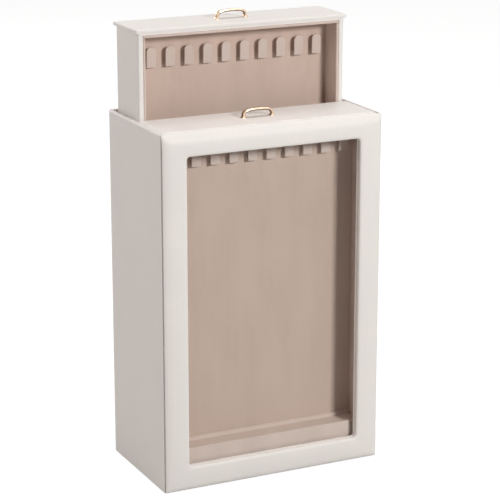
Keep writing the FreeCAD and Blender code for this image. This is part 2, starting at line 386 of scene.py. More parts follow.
def edge_share(tree):
    """0 on the flat of a board, 1 where the skin is drawn round an edge."""
    coordinates = add(tree, "ShaderNodeTexCoord")
    absolute = add(
        tree, "ShaderNodeVectorMath", {"operation": "ABSOLUTE"}, {0: coordinates.outputs["Normal"]}
    )
    parts = add(tree, "ShaderNodeSeparateXYZ", None, {0: absolute.outputs[0]})
    flat = calculate(tree, "MAXIMUM", parts.outputs[0], parts.outputs[1])
    flat = calculate(tree, "MAXIMUM", flat, parts.outputs[2])
    return ranged(tree, flat, 0.72, 0.99, 1.0, 0.0)


def finish_with(tree, values):
    """Adds the surface shader and the material's output."""
    shader = add(tree, "ShaderNodeBsdfPrincipled", None, values)
    add(tree, "ShaderNodeOutputMaterial", None, {"Surface": shader.outputs[0]})


def finish_with_two(tree, share_of_second, first, second, output="ShaderNodeOutputMaterial"):
    """Mixes two shaders and adds the output."""
    both = add(
        tree,
        "ShaderNodeMixShader",
        None,
        {0: share_of_second, 1: first.outputs[0], 2: second.outputs[0]},
    )
    add(tree, output, None, {"Surface": both.outputs[0]})


def seen_directly(tree):
    """1 for what is seen straight, in gloss or through a clear piece, 0 for the light it gives."""
    rays = add(tree, "ShaderNodeLightPath").outputs
    seen = calculate(tree, "MAXIMUM", rays["Is Camera Ray"], rays["Is Glossy Ray"])
    return calculate(tree, "MAXIMUM", seen, rays["Is Transmission Ray"])


def leatherette_finish():
    """Satin leatherette: fine pebble grain, faint clouding, drawn smooth round the edges and painted
    a little darker there as painted shade.
    """
    looks = finishes()
    finish, tree = new_finish(FINISH_PREFIX + "white_leatherette")
    place = place_of(tree)
    pebble = add(
        tree,
        "ShaderNodeTexVoronoi",
        {"feature": "SMOOTH_F1"},
        {"Vector": place, "Scale": 950.0, "Smoothness": 0.7, "Randomness": 1.0},
    ).outputs["Distance"]
    pores = noise(tree, place, 2400.0, 3.0, 0.6)
    cloud = noise(tree, place, 16.0, 3.0, 0.5)
    speck = noise(tree, place, 320.0, 2.0, 0.6)
    edge = edge_share(tree)
    base = looks.leatherette
    clouded = blend_colours(
        tree,
        ranged(tree, cloud, 0.3, 0.7, 0.0, 1.0),
        shade(base, 0.975, (0.995, 1.0, 1.0)),
        shade(base, 1.02, (1.0, 1.0, 0.995)),
    )
    specked = blend_colours(
        tree,
        ranged(tree, speck, 0.35, 0.7, 0.0, 0.35),
        clouded,
        shade(base, 0.965, (1.0, 0.995, 0.985)),
    )
    grained = blend_colours(
        tree, ranged(tree, pebble, 0.35, 0.75, 0.0, 0.3), specked, shade(base, 0.93)
    )
    # Painted shade: the skin is made darker where it turns round an edge, which tones down the light
    # that the frame's top roll catches.
    edge_toned = blend_colours(
        tree, ranged(tree, edge, 0.0, 1.0, 0.0, 0.5), grained, shade(base, 0.9, (1.0, 0.995, 0.985))
    )
    roughness = looks.leatherette_roughness
    rough = calculate(
        tree,
        "ADD",
        ranged(tree, pebble, 0.2, 0.8, roughness - 0.05, roughness + 0.07),
        ranged(tree, edge, 0.0, 1.0, 0.0, -0.08),
    )
    rough = calculate(tree, "ADD", rough, ranged(tree, cloud, 0.3, 0.7, -0.025, 0.025))
    waves = raised(tree, noise(tree, place, 42.0, 2.0, 0.5), 0.12, 0.0006)
    grain = raised(
        tree, ranged(tree, pebble, 0.1, 0.85, 1.0, 0.0), 0.16, 0.00009, waves
    )
    normal = raised(tree, pores, 0.12, 0.00004, grain)
    finish_with(
        tree,
        {
            "Base Color": edge_toned,
            "Roughness": rough,
            "Normal": normal,
            "Specular IOR Level": 0.3,
            "Coat Weight": 0.03,
            "Coat Roughness": 0.35,
        },
    )
    return finish


def velvet_finish(name, base):
    """Short-pile velvet: brushed patches, fine pile and a soft sheen."""
    finish, tree = new_finish(FINISH_PREFIX + name)
    place = place_of(tree)
    brushed = place_of(tree, (1.0, 1.0, 0.28))
    patches = noise(tree, brushed, 38.0, 3.0, 0.55)
    strokes = noise(tree, brushed, 210.0, 2.0, 0.5)
    pile = noise(tree, place, 2600.0, 3.0, 0.7)
    tufts = add(
        tree,
        "ShaderNodeTexVoronoi",
        {"feature": "F1"},
        {"Vector": place, "Scale": 1900.0, "Randomness": 1.0},
    ).outputs["Distance"]
    patched = blend_colours(
        tree,
        ranged(tree, patches, 0.3, 0.7, 0.0, 1.0),
        shade(base, 0.93, (1.0, 0.985, 0.98)),
        shade(base, 1.05, (1.0, 1.005, 1.01)),
    )
    stroked = blend_colours(
        tree, ranged(tree, strokes, 0.35, 0.7, 0.0, 0.5), patched, shade(base, 1.06)
    )
    piled = blend_colours(
        tree, ranged(tree, pile, 0.35, 0.7, 0.4, 0.0), stroked, shade(base, 0.86, (1.0, 0.97, 0.95))
    )
    height = calculate(tree, "SUBTRACT", pile, calculate(tree, "MULTIPLY", tufts, 0.4))
    soft = raised(tree, patches, 0.15, 0.0004)
    normal = raised(tree, height, 0.35, 0.00018, soft)
    finish_with(
        tree,
        {
            "Base Color": piled,
            "Roughness": ranged(tree, strokes, 0.3, 0.7, 0.88, 0.98),
            "Normal": normal,
            "Specular IOR Level": 0.1,
            "Sheen Weight": 0.4,
            "Sheen Roughness": 0.4,
            "Sheen Tint": shade((1.0, 0.92, 0.88), 1.0),
        },
    )
    return finish


def gold_finish():
    """Polished plating with faint hazing, and painted shade and painted dark reflections under the
    bow, on its sides and a little on top.
    """
    looks = finishes()
    finish, tree = new_finish(FINISH_PREFIX + "gold")
    place = place_of(tree)
    haze = noise(tree, place, 260.0, 3.0, 0.6)
    polish = noise(tree, place_of(tree, (1.0, 0.2, 1.0)), 2200.0, 2.0, 0.5)
    edge = edge_share(tree)
    base = looks.gold
    toned = blend_colours(
        tree,
        ranged(tree, haze, 0.3, 0.7, 0.0, 1.0),
        shade(base, 0.96, (1.0, 0.985, 0.96)),
        shade(base, 1.03),
    )
    edge_toned = blend_colours(
        tree, ranged(tree, edge, 0.0, 1.0, 0.0, 0.25), toned, shade(base, 1.05, (1.0, 1.02, 1.08))
    )
    # Painted shade and painted dark reflections: the plating is darkened towards the gold shade
    # colour where it faces sideways, where it faces down, and a little where it faces up.
    normal = add(tree, "ShaderNodeTexCoord").outputs["Normal"]
    sideways, _, upwards = add(tree, "ShaderNodeSeparateXYZ", None, {0: normal}).outputs
    painted_leg_shade = ranged(tree, calculate(tree, "ABSOLUTE", sideways, 0.0), 0.45, 0.92, 0.0, 0.93)
    under = ranged(tree, upwards, 0.0, -0.45, 0.0, 1.0)
    top = ranged(tree, upwards, 0.6, 0.97, 0.0, 0.4)
    painted_shade_share = calculate(tree, "MAXIMUM", calculate(tree, "MAXIMUM", painted_leg_shade, under), top)
    with_painted_shade = blend_colours(tree, painted_shade_share, edge_toned, shade(looks.gold_painted_shade, 1.0))
    roughness = looks.gold_roughness
    finish_with(
        tree,
        {
            "Base Color": with_painted_shade,
            "Metallic": 1.0,
            "Roughness": ranged(tree, haze, 0.3, 0.75, roughness - 0.05, roughness + 0.08),
            "Normal": raised(tree, polish, 0.06, 0.00003),
        },
    )
    return finish


def felt_finish():
    """Pressed felt: matted fibres in two tones."""
    base = finishes().felt
    finish, tree = new_finish(FINISH_PREFIX + "base_felt")
    place = place_of(tree)
    matted = noise(tree, place, 900.0, 4.0, 0.75)
    lumps = noise(tree, place, 110.0, 2.0, 0.5)
    toned = blend_colours(
        tree, ranged(tree, matted, 0.35, 0.65, 0.0, 1.0), shade(base, 0.85), shade(base, 1.12)
    )
    finish_with(
        tree,
        {
            "Base Color": blend_colours(
                tree, ranged(tree, lumps, 0.3, 0.7, 0.0, 0.4), toned, shade(base, 0.9)
            ),
            "Roughness": ranged(tree, matted, 0.3, 0.7, 0.9, 1.0),
            "Normal": raised(tree, matted, 0.5, 0.0003),
            "Sheen Weight": 0.15,
        },
    )
    return finish


def fibreboard_finish():
    """Bare pressed board: chips and dust in browns."""
    base = finishes().fibreboard
    finish, tree = new_finish(FINISH_PREFIX + "fibreboard")
    place = place_of(tree)
    chips = add(
        tree, "ShaderNodeTexVoronoi", {"feature": "F1"}, {"Vector": place, "Scale": 700.0}
    ).outputs["Distance"]
    dust = noise(tree, place, 1500.0, 4.0, 0.7)
    toned = blend_colours(
        tree, ranged(tree, dust, 0.3, 0.7, 0.0, 1.0), shade(base, 0.8), shade(base, 1.2)
    )
    finish_with(
        tree,
        {
            "Base Color": blend_colours(
                tree, ranged(tree, chips, 0.2, 0.8, 0.0, 0.35), toned, shade(base, 0.65)
            ),
            "Roughness": ranged(tree, dust, 0.3, 0.7, 0.72, 0.9),
            "Normal": raised(tree, dust, 0.3, 0.0002),
        },
    )
    return finish


def steel_finish():
    """Plated screws with turning marks."""
    base = finishes().steel
    finish, tree = new_finish(FINISH_PREFIX + "screw_steel")
    marks = noise(tree, place_of(tree, (1.0, 1.0, 0.1)), 1800.0, 2.0, 0.5)
    finish_with(
        tree,
        {
            "Base Color": blend_colours(tree, marks, shade(base, 0.9), shade(base, 1.1)),
            "Metallic": 1.0,
            "Roughness": ranged(tree, marks, 0.3, 0.7, 0.26, 0.4),
            "Normal": raised(tree, marks, 0.1, 0.00005),
        },
    )
    return finish


def pane_finish():
    """Clear acrylic: what is behind shows through, and the sheet mirrors more at a slant."""
    finish, tree = new_finish(FINISH_PREFIX + "clear_pane")
    smears = noise(tree, place_of(tree, (1.0, 1.0, 0.5)), 34.0, 3.0, 0.6)
    clear = add(tree, "ShaderNodeBsdfTransparent", None, {"Color": (0.985, 0.99, 0.988, 1)})
    mirror = add(
        tree,
        "ShaderNodeBsdfGlossy",
        None,
        {"Color": (1, 1, 1, 1), "Roughness": ranged(tree, smears, 0.35, 0.7, 0.02, 0.06)},
    )
    slant = add(tree, "ShaderNodeLayerWeight", None, {"Blend": 0.5}).outputs["Facing"]
    glance = ranged(tree, calculate(tree, "POWER", slant, 5.0), 0.0, 1.0, 0.004, 0.7)
    finish_with_two(tree, glance, clear, mirror)
    return finish


MAKERS = {
    "white_leatherette": leatherette_finish,
    "velvet": lambda: velvet_finish("velvet", finishes().velvet),
    # The second and third velvets are painted-light copies of the first, made lighter.
    "painted_lit_velvet": lambda: velvet_finish("painted_lit_velvet", finishes().painted_lit_velvet),
    "painted_lit_hook_velvet": lambda: velvet_finish("painted_lit_hook_velvet", finishes().painted_lit_hook_velvet),
    "gold": gold_finish,
    "base_felt": felt_finish,
    "fibreboard": fibreboard_finish,
    "screw_steel": steel_finish,
    "clear_pane": pane_finish,
}


def finish_of(name):
    """A detailed material, made when it is first asked for."""
    return bpy.data.materials.get(FINISH_PREFIX + name) or MAKERS[name]()


# Pieces


def wrapped_board(node, body, outer, edge=None, front=0.0, top=0.0):
    """A board wrapped in leatherette. The edges that outer accepts are rounded most, by edge.

    front and top are how far it stays short of the solid there, for a seam or a lid above it.
    """
    low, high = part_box(node)
    low = low + Vector((0, front, 0))
    high = high - Vector((0, 0, top))
    board = add_block(node + "_wrap", low, high)
    round_edges(board, edge or sizes().wrapped_edge, lambda e: outer(e, low, high))
    round_rest(board, sizes().folded_edge)
    smooth(board)
    dress(board, finish_of("white_leatherette"), "white_leatherette", body, node)
    return board


def velvet_block(
    node, body, name=None, low=None, high=None, replaces=True, edge=None, pile="velvet"
):
    """A velvet-covered board or sheet with soft edges. Without a box it takes the node's."""
    if low is None:
        low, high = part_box(node)
    block = add_block(name or node + "_pile", low, high)
    thin = min(high - low)
    round_edges(block, min(edge or sizes().velvet_edge, thin * LARGEST_ROUNDING), sharp, 4)
    smooth(block)
    if replaces:
        dress(block, finish_of(pile), "velvet", body, node)
    return block


class NECKLACE_BOX_OT_side_panels(bpy.types.Operator):
    """Wraps the two side panels of the casing"""

    bl_idname = "necklace_box.side_panels"
    bl_label = "Side panels"

    def execute(self, context):
        cut = sizes()
        for node, side in (("left_side_panel", 0), ("right_side_panel", 1)):
            wrapped_board(
                node,
                "casing",
                lambda e, low, high: at_plane(e, 0, (low, high)[side].x)
                and (at_plane(e, 1, high.y) or at_plane(e, 2, high.z)),
                cut.panel_edge,
                front=cut.seam,
            )
        return {"FINISHED"}


class NECKLACE_BOX_OT_back_panel(bpy.types.Operator):
    """Wraps the back panel and lays a trimmed sheet over the turned-in edges"""

    bl_idname = "necklace_box.back_panel"
    bl_label = "Back panel"

    def execute(self, context):
        low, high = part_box("back_panel")
        step = sizes().back_sheet_step
        panel = add_block("back_panel_wrap", low, Vector((high.x, high.y - step, high.z)))
        pick(panel, "FACE", lambda f: f.normal.y > 0.9)
        finished(
            bpy.ops.mesh.inset(thickness=sizes().back_sheet_inset, depth=0), "trimming the sheet"
        )
        finished(
            bpy.ops.mesh.extrude_region_move(TRANSFORM_OT_translate={"value": (0, step, 0)}),
            "raising the sheet",
        )
        close_edit()
        inner = sizes().back_sheet_inset / 2
        rim_y = high.y - step
        round_edges(
            panel,
            sizes().wrapped_edge,
            lambda e: sharp(e) and at_plane(e, 1, rim_y) and along(e, 0) and (
                e.verts[0].co.z < low.z + inner or e.verts[0].co.z > high.z - inner
            ),
        )
        round_edges(
            panel, step * LARGEST_ROUNDING, lambda e: sharp(e) and at_plane(e, 1, high.y), 2
        )
        round_edges(
            panel, sizes().folded_edge, lambda e: sharp(e) and not near_back(e, rim_y), 2
        )
        smooth(panel)
        dress(panel, finish_of("white_leatherette"), "white_leatherette", "casing", "back_panel")
        return {"FINISHED"}


def near_back(edge, y):
    """True if an edge lies at or behind the rim at y."""
    return min(v.co.y for v in edge.verts) > y - 1e-4


class NECKLACE_BOX_OT_front_frame(bpy.types.Operator):
    """Swells the padded frame round the window and dresses the board behind it"""

    bl_idname = "necklace_box.front_frame"
    bl_label = "Front frame"

    def execute(self, context):
        node = "front_cover"
        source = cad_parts[node]
        low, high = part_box(node)
        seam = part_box("front_board")[0].y
        pad = bpy.data.objects.new("front_cover_pad", source.data.copy())
        context.scene.collection.objects.link(pad)
        named(pad, "front_cover_pad")
        only(pad)
        bpy.ops.object.mode_set(mode="EDIT")
        bpy.ops.mesh.select_all(action="SELECT")
        bpy.ops.mesh.remove_doubles(threshold=SAME_POINT)
        close_edit()
        remesh = pad.modifiers.new("even faces", "REMESH")
        remesh.mode = "VOXEL"
        remesh.voxel_size = sizes().pad_mesh
        remesh.adaptivity = 0
        finished(bpy.ops.object.modifier_apply(modifier=remesh.name), "remeshing the pad")
        swell(pad, seam)
        crown(pad, low, high, seam)
        hold_inside(pad, low, high)
        only(pad)
        finished(bpy.ops.object.shade_smooth(), "shading the pad")
        dress(pad, finish_of("white_leatherette"), "white_leatherette", "casing", node)
        dress_node("front_board", finish_of("white_leatherette"))
        return {"FINISHED"}


def swell(pad, seam):
    """Blows the foam up a little with cloth pressure, held at the seam, and caps its moves."""
    start = [v.co.copy() for v in pad.data.vertices]
    held = pad.vertex_groups.new(name="seam")
    margin = 0.6 * sizes().pad_mesh
    held.add([v.index for v in pad.data.vertices if v.co.y > seam - margin], 1.0, "REPLACE")
    cloth = pad.modifiers.new("foam", "CLOTH")
    settings = cloth.settings
    settings.quality = 4
    settings.mass = 0.001
    settings.tension_stiffness = 15
    settings.compression_stiffness = 15
    settings.bending_stiffness = 0.5
    settings.use_pressure = True
    settings.uniform_pressure_force = 4
    settings.vertex_group_mass = held.name
    settings.effector_weights.gravity = 0
    cloth.point_cache.frame_start = 1
    cloth.point_cache.frame_end = SWELL_FRAMES
    scene = bpy.context.scene
    for number in range(1, SWELL_FRAMES + 1):
        scene.frame_set(number)
    only(pad)
    finished(bpy.ops.object.modifier_apply(modifier=cloth.name), "swelling the pad")
    scene.frame_set(1)
    cap = sizes().pad_swell
    moves = []
    for vertex, before in zip(pad.data.vertices, start):
        move = vertex.co - before
        moves.append(move * min(1, cap / max(move.length, SAME_POINT)))
    for vertex, before, move in zip(pad.data.vertices, start, evened(pad.data, moves)):
        vertex.co = before + move
    pad.vertex_groups.clear()


def evened(mesh, moves):
    """Evens out the moves of neighbouring points, so that no crease starts where two rails meet."""
    near = [[] for _ in mesh.vertices]
    for edge in mesh.edges:
        first, second = edge.vertices
        near[first].append(second)
        near[second].append(first)
    for _ in range(EVENING_ROUNDS):
        moves = [
            sum((moves[other] for other in others), move) / (len(others) + 1)
            for move, others in zip(moves, near)
        ]
    return moves


def within(value):
    """A value held between 0 and 1."""
    return min(1, max(0, value))


def stretched(distance, radius, wanted, border):
    """Stretches a rounding of radius to wanted, and the flat beyond it to fit inside border."""
    if distance >= border:
        return distance
    if distance < radius:
        return distance * wanted / radius
    part = (distance - radius) / (border - radius)
    return wanted + part * (border - wanted)


def crown(pad, low, high, seam):
    """Rounds the foam wider to its sides and lets it fall away softly towards every edge."""
    cut = sizes()
    window_low, window_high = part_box("window_pane")
    lap = cut.pane_lap
    left, right = window_low.x + lap, window_high.x - lap
    sill, head = window_low.z + lap, window_high.z - lap
    reach = cut.pad_reach
    rim_reach = 0.6 * reach
    seam_reach = 2 * cut.pad_tuck
    side_reach = 3 * cut.pad_tuck
    untucked_roll = 0.4
    for vertex in pad.data.vertices:
        place = vertex.co
        toward = 1 if place.x < 0 else -1
        inward = min(place.x - low.x, high.x - place.x)
        lower = high.z - place.z
        before_seam = within((seam - place.y) / seam_reach)
        wider = stretched(inward, cut.side_radius, cut.pad_side, left - low.x)
        place.x += before_seam * (wider - inward) * toward
        inward += before_seam * (wider - inward)
        taller = stretched(lower, cut.roll_radius, cut.pad_roll, high.z - head)
        place.z -= before_seam * (taller - lower)
        at_seam = within(1 - abs(seam - place.y) / seam_reach)
        at_side = max(0, 1 - inward / side_reach)
        below_roll = within(lower / cut.roll_radius - untucked_roll)
        place.x += cut.pad_tuck * at_seam * at_side * below_roll * toward
        front = within((seam - place.y) / (seam - low.y))
        side = 1 - math.exp(-inward / reach)
        end = 1 - math.exp(-min(place.z - low.z, high.z - place.z) / reach)
        beside = max(left - place.x, place.x - right, 0)
        above = max(sill - place.z, place.z - head, 0)
        rim = math.exp(-math.hypot(beside, above) / rim_reach)
        place.y += front * (cut.pad_fall * (1 - side * end) + cut.pad_dip * rim)


def hold_inside(piece, low, high):
    """Brings every point that strays outside a box back to its side."""
    for vertex in piece.data.vertices:
        for axis in range(3):
            vertex.co[axis] = min(max(vertex.co[axis], low[axis]), high[axis])


class NECKLACE_BOX_OT_window_pane(bpy.types.Operator):
    """Gives the pane behind the frame its clear finish"""

    bl_idname = "necklace_box.window_pane"
    bl_label = "Window pane"

    def execute(self, context):
        dress_node("window_pane", finish_of("clear_pane"))
        return {"FINISHED"}


class NECKLACE_BOX_OT_base(bpy.types.Operator):
    """Makes the felt pad and dresses the board above it"""

    bl_idname = "necklace_box.base"
    bl_label = "Base"

    def execute(self, context):
        low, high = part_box("base_pad")
        felt = add_block("base_pad_felt", low, high)
        round_edges(felt, sizes().felt_corner, lambda e: along(e, 2), 6)
        round_edges(felt, sizes().felt_edge, lambda e: at_plane(e, 2, low.z), 3)
        smooth(felt)
        dress(felt, finish_of("base_felt"), "base_felt", "casing", "base_pad")
        dress_node("base_panel", finish_of("fibreboard"))
        return {"FINISHED"}


class NECKLACE_BOX_OT_wells(bpy.types.Operator):
    """Lines the two wells that the drawers slide in"""

    bl_idname = "necklace_box.wells"
    bl_label = "Wells"

    def execute(self, context):
        for node in ("left_well_liner", "right_well_liner"):
            wrapped_board(node, "casing", lambda e, low, high: along(e, 2), top=sizes().lid_rest)
        for node in ("back_well_liner", "well_divider"):
            velvet_block(node, "casing")
        low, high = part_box("well_floor_pads")
        wall_low, wall_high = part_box("well_divider")
        front = velvet_block(
            None, None, "front_floor_pad", low, Vector((high.x, wall_low.y, high.z)), False
        )
        rear = velvet_block(
            None, None, "rear_floor_pad", Vector((low.x, wall_high.y, low.z)), high, False
        )
        pads = join([front, rear], "well_floor_pads_pile")
        dress(pads, finish_of("velvet"), "velvet", "casing", "well_floor_pads")
        return {"FINISHED"}


class NECKLACE_BOX_OT_drawer_boards(bpy.types.Operator):
    """Wraps the lid, the top board, the walls and the bottom board of each drawer"""

    bl_idname = "necklace_box.drawer_boards"
    bl_label = "Drawer boards"

    def execute(self, context):
        rounded = {
            "lid": lambda e, low, high: at_plane(e, 2, high.z) or along(e, 2),
            "top_board": lambda e, low, high: along(e, 2),
            "bottom_board": lambda e, low, high: at_plane(e, 2, low.z) or along(e, 2),
            "left_wall": lambda e, low, high: at_plane(e, 0, low.x) and along(e, 2),
            "right_wall": lambda e, low, high: at_plane(e, 0, high.x) and along(e, 2),
        }
        for drawer in DRAWERS:
            for board, outer in rounded.items():
                wrapped_board(f"{drawer}_{board}", drawer, outer)
            dress_node(drawer + "_centre_board", finish_of("fibreboard"))
        return {"FINISHED"}


class NECKLACE_BOX_OT_drawer_linings(bpy.types.Operator):
    """Covers the inside of each drawer with velvet"""

    bl_idname = "necklace_box.drawer_linings"
    bl_label = "Drawer linings"

    def execute(self, context):
        edge = sizes().lining_edge
        for drawer in DRAWERS:
            for part in ("left_lining", "right_lining", "top_lining"):
                velvet_block(f"{drawer}_{part}", drawer, edge=edge, pile="painted_lit_velvet")
            for part in ("front_panel", "rear_panel"):
                velvet_block(f"{drawer}_{part}", drawer)
        return {"FINISHED"}


class NECKLACE_BOX_OT_trays(bpy.types.Operator):
    """Builds the stepped tray and the lip at the foot of each compartment"""

    bl_idname = "necklace_box.trays"
    bl_label = "Trays and lips"

    def execute(self, context):
        for drawer in DRAWERS:
            for side in SIDES:
                tray(drawer, side)
                lip(drawer, side)
        return {"FINISHED"}


def tray(drawer, side):
    """A block whose back strip is raised into a step against the panel."""
    node = f"{drawer}_{side}_tray_block"
    low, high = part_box(node)
    rise = sizes().tray_step_height
    block = add_block(node + "_pile", low, Vector((high.x, high.y, high.z - rise)))
    inward = 1 if side == "front" else -1
    back = high.y if side == "front" else low.y
    step_y = back - inward * sizes().tray_step_depth
    pick(block, "FACE", lambda f: True)
    finished(
        bpy.ops.mesh.bisect(plane_co=(0, step_y, 0), plane_no=(0, 1, 0)), "marking the step"
    )
    close_edit()
    pick(
        block,
        "FACE",
        lambda f: f.normal.z > 0.9 and inward * (f.calc_center_median().y - step_y) > 0,
    )
    finished(
        bpy.ops.mesh.extrude_region_move(TRANSFORM_OT_translate={"value": (0, 0, rise)}),
        "raising the step",
    )
    close_edit()
    round_edges(block, sizes().velvet_edge, sharp, 3)
    smooth(block)
    dress(block, finish_of("painted_lit_velvet"), "velvet", drawer, node)


def lip(drawer, side):
    """The raised strip along the front of a tray, rounded along its top."""
    node = f"{drawer}_{side}_lip"
    low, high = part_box(node)
    strip = add_block(node + "_pile", low, high)
    round_edges(strip, sizes().lip_edge, lambda e: at_plane(e, 2, high.z) and along(e, 0), 4)
    round_edges(strip, sizes().lip_end, sharp, 2)
    smooth(strip)
    dress(strip, finish_of("painted_lit_velvet"), "velvet", drawer, node)


class NECKLACE_BOX_OT_hooks(bpy.types.Operator):
    """Models one velvet hook and repeats it along each panel"""

    bl_idname = "necklace_box.hooks"
    bl_label = "Hooks"

    def execute(self, context):
        for drawer in DRAWERS:
            for side in SIDES:
                hook_row(drawer, side)
        return {"FINISHED"}


def hook(x, root_y, foot_z, outward):
    """One hook at x. Its arm starts on the panel at root_y, and outward is -1 or 1 along Y."""
    cut = sizes()
    half = cut.tab_width / 2
    face_y = root_y + outward * cut.hook_slot
    centre = Vector((x, face_y + outward * cut.tab_thickness / 2, foot_z + cut.tab_height - half))
    only(None)
    finished(
        bpy.ops.mesh.primitive_cylinder_add(
            vertices=48,
            radius=half,
            depth=cut.tab_thickness,
            location=centre,
            rotation=(math.pi / 2, 0, 0),
        ),
        "adding a tab",
    )
    tab = settle(named(bpy.context.object, "tab"))
    pick(tab, "FACE", lambda f: True)
    finished(
        bpy.ops.mesh.bisect(
            plane_co=centre, plane_no=(0, 0, -1), use_fill=True, clear_outer=True
        ),
        "halving the tab",
    )
    close_edit()
    pick(
        tab,
        "FACE",
        lambda f: abs(f.normal.z) > 0.99 and abs(f.calc_center_median().z - centre.z) < SAME_POINT,
    )
    drop = foot_z - centre.z
    finished(
        bpy.ops.mesh.extrude_region_move(TRANSFORM_OT_translate={"value": (0, 0, drop)}),
        "drawing the tab down",
    )
    bpy.ops.mesh.select_all(action="SELECT")
    bpy.ops.mesh.normals_make_consistent(inside=False)
    close_edit()
    round_edges(tab, cut.tab_edge, lambda e: sharp(e) and not along(e, 1), 4)
    round_edges(tab, cut.tab_foot_edge, sharp, 2)
    lean = cut.tab_lean * outward
    for vertex in tab.data.vertices:
        up = vertex.co.z - foot_z
        out = vertex.co.y - face_y
        vertex.co.y = face_y + out * math.cos(lean) + up * math.sin(lean)
        vertex.co.z = foot_z + up * math.cos(lean) - out * math.sin(lean)
    arm_low = foot_z + cut.tab_edge
    ys = sorted((root_y, face_y + outward * cut.tab_thickness / 2))
    arm = add_block(
        "arm",
        Vector((x - cut.arm_width / 2, ys[0], arm_low)),
        Vector((x + cut.arm_width / 2, ys[1], arm_low + cut.arm_height)),
    )
    round_edges(arm, cut.tab_edge, lambda e: along(e, 1), 3)
    return join([tab, arm], "hook")


def hook_row(drawer, side):
    """A row with as many hooks as the solid has, evenly spaced."""
    node = f"{drawer}_{side}_hooks"
    low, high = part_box(node)
    cut = sizes()
    outward = -1 if side == "front" else 1
    root_y = high.y if side == "front" else low.y
    count = count_solids(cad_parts[node])
    pitch = (high.x - low.x - cut.tab_width) / (count - 1)
    first = hook(low.x + cut.tab_width / 2, root_y, low.z, outward)
    row = [first]
    for number in range(1, count):
        row.append(copy_piece(first, f"hook_{number}", (number * pitch, 0, 0)))
    hooks = join(row, node + "_pile")
    smooth(hooks)
    dress(hooks, finish_of("painted_lit_hook_velvet"), "velvet", drawer, node)


def count_solids(node):
    """How many separate solids a CAD node has."""
    mesh = bmesh.new()
    mesh.from_mesh(node.data)
    bmesh.ops.remove_doubles(mesh, verts=mesh.verts, dist=SAME_POINT)
    left = set(mesh.verts)
    count = 0
    while left:
        reached = [left.pop()]
        for vertex in reached:
            for edge in vertex.link_edges:
                other = edge.other_vert(vertex)
                if other in left:
                    left.remove(other)
                    reached.append(other)
        count += 1
    mesh.free()
    return count


class NECKLACE_BOX_OT_handles(bpy.types.Operator):
    """Spins and draws the gold bow handle of each drawer"""

    bl_idname = "necklace_box.handles"
    bl_label = "Bow handles"

    def execute(self, context):
        for drawer in DRAWERS:
            handle(drawer)
            dress_node(drawer + "_handle_screws", finish_of("screw_steel"))
        return {"FINISHED"}


def extrude_to(move, width_scale, middle):
    """Draws the picked face on by move and scales its width about the middle."""
    finished(
        bpy.ops.mesh.extrude_region_move(TRANSFORM_OT_translate={"value": move}), "drawing the bow"
    )
    finished(
        bpy.ops.transform.resize(value=(width_scale, 1, 1), center_override=middle),
        "setting the bow's width",
    )


def handle(drawer):
    """A bow: flared foot, leg, round corner, long crown, and the same again downwards.

    The knee is where the flare of a foot ends.
    """
    node = drawer + "_handle"
    low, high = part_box(node)
    cut = sizes()
    base = low.z
    half_span = (high.x - low.x) / 2
    leg_out = half_span - cut.handle_flare
    leg_x = leg_out - cut.handle_bar / 2
    foot_x = half_span - cut.handle_foot / 2
    middle_y = (low.y + high.y) / 2
    depth = high.y - low.y
    crown_z = high.z - cut.handle_crown
    corner_x = leg_out - cut.handle_corner
    reach = cut.handle_crown - cut.handle_corner
    lean = math.asin(corner_x / reach)
    corner_z = crown_z + reach * math.cos(lean)
    only(None)
    finished(
        bpy.ops.mesh.primitive_plane_add(size=1, location=(-foot_x, middle_y, base)),
        "adding a foot",
    )
    bow = bpy.context.object
    bow.scale = (cut.handle_foot, depth, 1)
    settle(named(bow, node + "_bow"))
    pick(bow, "FACE", lambda f: True)
    knee_z = base + cut.handle_flare_height
    knee_share = 1.12
    foot_share = cut.handle_foot / cut.handle_bar
    extrude_to(
        (foot_x - leg_x, 0, knee_z - base), knee_share / foot_share, (-leg_x, middle_y, knee_z)
    )
    extrude_to((0, 0, corner_z - knee_z), 1 / knee_share, (-leg_x, middle_y, corner_z))
    turn = math.pi / 2 - lean
    for steps, angle, centre in (
        (10, turn, (-corner_x, middle_y, corner_z)),
        (16, 2 * lean, (0, middle_y, crown_z)),
        (10, turn, (corner_x, middle_y, corner_z)),
    ):
        finished(
            bpy.ops.mesh.spin(steps=steps, angle=angle, center=centre, axis=(0, -1, 0)),
            "bending the bow",
        )
    extrude_to((0, 0, knee_z - corner_z), knee_share, (leg_x, middle_y, knee_z))
    extrude_to(
        (foot_x - leg_x, 0, base - knee_z), foot_share / knee_share, (foot_x, middle_y, base)
    )
    bpy.ops.mesh.select_all(action="SELECT")
    bpy.ops.mesh.remove_doubles(threshold=SAME_POINT)
    bpy.ops.mesh.normals_make_consistent(inside=False)
    close_edit()
    round_edges(
        bow,
        cut.handle_edge,
        lambda e: (at_plane(e, 1, low.y) or at_plane(e, 1, high.y))
        and not at_plane(e, 2, base)
        and sharp(e),
        4,
    )
    smooth(bow, 50)
    dress(bow, finish_of("gold"), "gold", drawer, node)


# Stage


def stage_floor():
    """A floor that gives light as pale paint does and shows white where the sky reaches it."""
    only(None)
    finished(bpy.ops.mesh.primitive_plane_add(size=16, location=(0, 0, 0)), "adding the floor")
    floor = named(bpy.context.object, "floor")
    finish, tree = new_finish("pale_floor")
    paint = add(tree, "ShaderNodeBsdfDiffuse", None, {"Color": (0.49, 0.485, 0.48, 1)})
    shadow = add(tree, "ShaderNodeBsdfDiffuse", None, {"Color": (0.25, 0.25, 0.25, 1)})
    lift = add(tree, "ShaderNodeEmission", None, {"Color": (1, 1, 1, 1), "Strength": 0.9})
    white = add(
        tree, "ShaderNodeAddShader", None, {0: shadow.outputs[0], 1: lift.outputs[0]}
    )
    finish_with_two(tree, seen_directly(tree), paint, white)
    floor.data.materials.append(finish)


